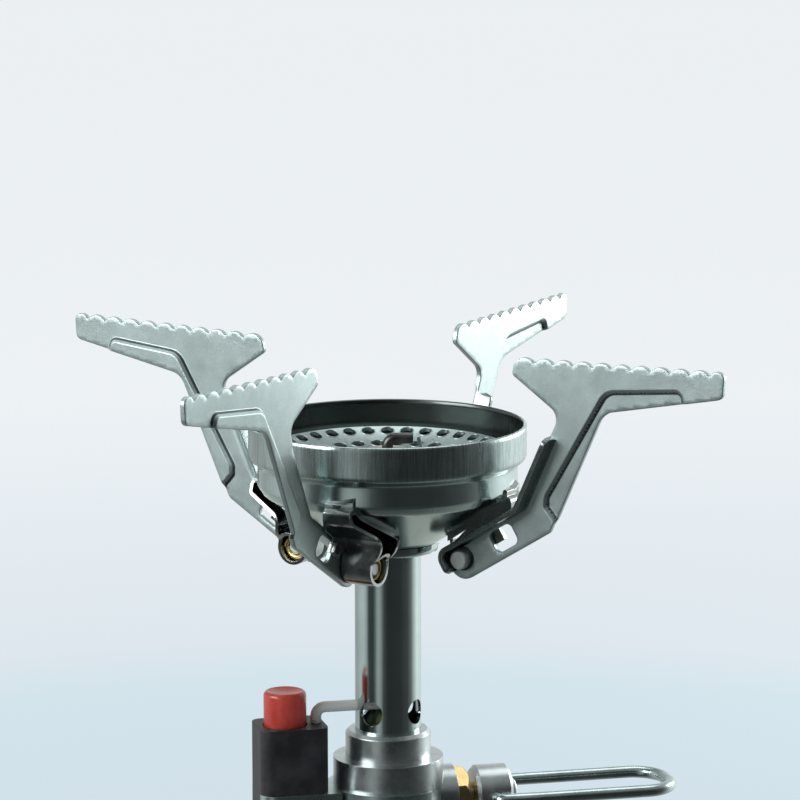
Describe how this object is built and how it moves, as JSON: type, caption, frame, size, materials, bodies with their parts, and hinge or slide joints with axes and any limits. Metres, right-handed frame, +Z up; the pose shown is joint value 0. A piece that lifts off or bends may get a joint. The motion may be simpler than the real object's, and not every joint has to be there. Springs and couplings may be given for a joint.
{
  "type": "camping stove",
  "caption": "Folding canister-top gas stove: toothed pan supports on sprung hinges round a dished burner bowl, mixing tube, valve with wire handle and push-button igniter.",
  "frame": {"origin": "centre of the canister socket's mouth, on the stove's axis, at its bottom face", "axes": "+Z up along the mixing tube; +X towards the flame control's handle; -X towards the igniter; the support arms stand over the diagonals between X and Y"},
  "size_m": [0.082, 0.0776, 0.0868],
  "materials": {
    "bowl_steel": "spun stainless steel, finely brushed up and down",
    "plate_steel": "pressed stainless steel, slightly heat-tinted",
    "arm_steel": "pressed stainless steel, satin",
    "bracket_steel": "bent stainless strip, bright",
    "tube_steel": "polished stainless tube",
    "pin_steel": "turned steel",
    "washer_steel": "blackened spring steel",
    "spring_bronze": "bronze-coated spring wire",
    "brass": "turned brass",
    "socket_alloy": "anodised aluminium, turned and fluted",
    "valve_alloy": "machined aluminium",
    "spring_steel": "spring steel",
    "handle_steel": "bright steel wire",
    "hub_alloy": "turned aluminium",
    "rubber": "nitrile rubber",
    "ceramic": "unglazed ceramic",
    "electrode_steel": "heat-darkened steel wire",
    "case_plastic": "black moulded plastic",
    "button_plastic": "red moulded plastic",
    "piezo_plastic": "pale moulded plastic",
    "lead_sleeve": "heat-proof woven sleeve",
    "filter_bronze": "sintered bronze"
  },
  "bodies": {
    "stove": {"burner_bowl": "bowl_steel", "burner_plate": "plate_steel", "electrode_insulator": "ceramic", "electrode": "electrode_steel", "earth_tab": "plate_steel", "mixing_tube": "tube_steel", "tube_collar": "tube_steel", "canister_socket": "socket_alloy", "canister_seal": "rubber", "actuator_pin": "brass", "gas_filter": "filter_bronze", "valve_body": "valve_alloy", "spindle_seal": "rubber", "gland_nut": "brass", "jet": "brass", "igniter_case": "case_plastic", "piezo_unit": "piezo_plastic", "button_spring": "spring_steel", "ignition_lead": "lead_sleeve", "igniter_clip": "spring_steel", "hinge_bracket_1": "bracket_steel", "hinge_bracket_2": "bracket_steel", "hinge_bracket_3": "bracket_steel", "hinge_bracket_4": "bracket_steel", "pivot_bush_1": "brass", "pivot_bush_2": "brass", "pivot_bush_3": "brass", "pivot_bush_4": "brass"},
    "arm_1": {"support_arm_1": "arm_steel", "pivot_pin_1": "pin_steel", "pivot_washer_1": "washer_steel", "pivot_spring_1": "spring_bronze"},
    "arm_2": {"support_arm_2": "arm_steel", "pivot_pin_2": "pin_steel", "pivot_washer_2": "washer_steel", "pivot_spring_2": "spring_bronze"},
    "arm_3": {"support_arm_3": "arm_steel", "pivot_pin_3": "pin_steel", "pivot_washer_3": "washer_steel", "pivot_spring_3": "spring_bronze"},
    "arm_4": {"support_arm_4": "arm_steel", "pivot_pin_4": "pin_steel", "pivot_washer_4": "washer_steel", "pivot_spring_4": "spring_bronze"},
    "flame_control": {"valve_spindle": "brass", "control_hub": "hub_alloy", "hub_screw": "pin_steel"},
    "handle": {"wire_handle": "handle_steel"},
    "button": {"igniter_button": "button_plastic"}
  },
  "joints": [
    {"name": "arm_1_hinge", "type": "hinge", "parent": "stove", "child": "arm_1", "pos_m": [0.00877, 0.00877, 0.0564], "axis": [-0.7071, 0.7071, 0], "range_deg": [0, 124]},
    {"name": "arm_2_hinge", "type": "hinge", "parent": "stove", "child": "arm_2", "pos_m": [-0.00877, 0.00877, 0.0564], "axis": [-0.7071, -0.7071, 0], "range_deg": [0, 124]},
    {"name": "arm_3_hinge", "type": "hinge", "parent": "stove", "child": "arm_3", "pos_m": [-0.00877, -0.00877, 0.0564], "axis": [0.7071, -0.7071, 0], "range_deg": [0, 124]},
    {"name": "arm_4_hinge", "type": "hinge", "parent": "stove", "child": "arm_4", "pos_m": [0.00877, -0.00877, 0.0564], "axis": [0.7071, 0.7071, 0], "range_deg": [0, 124]},
    {"name": "flame_control_turn", "type": "hinge", "parent": "stove", "child": "flame_control", "pos_m": [0.0153, 0, 0.0195], "axis": [1, 0, 0], "range_deg": [0, 540]},
    {"name": "handle_fold", "type": "hinge", "parent": "flame_control", "child": "handle", "pos_m": [0.0153, 0, 0.0195], "axis": [0, 1, 0], "range_deg": [-90, 45]},
    {"name": "igniter_press", "type": "slide", "parent": "stove", "child": "button", "axis": [0, 0, -1], "range_m": [0, 0.003], "stiffness_N_per_m": 1500, "springref_m": -0.001, "deforming": ["button_spring"]}
  ]
}
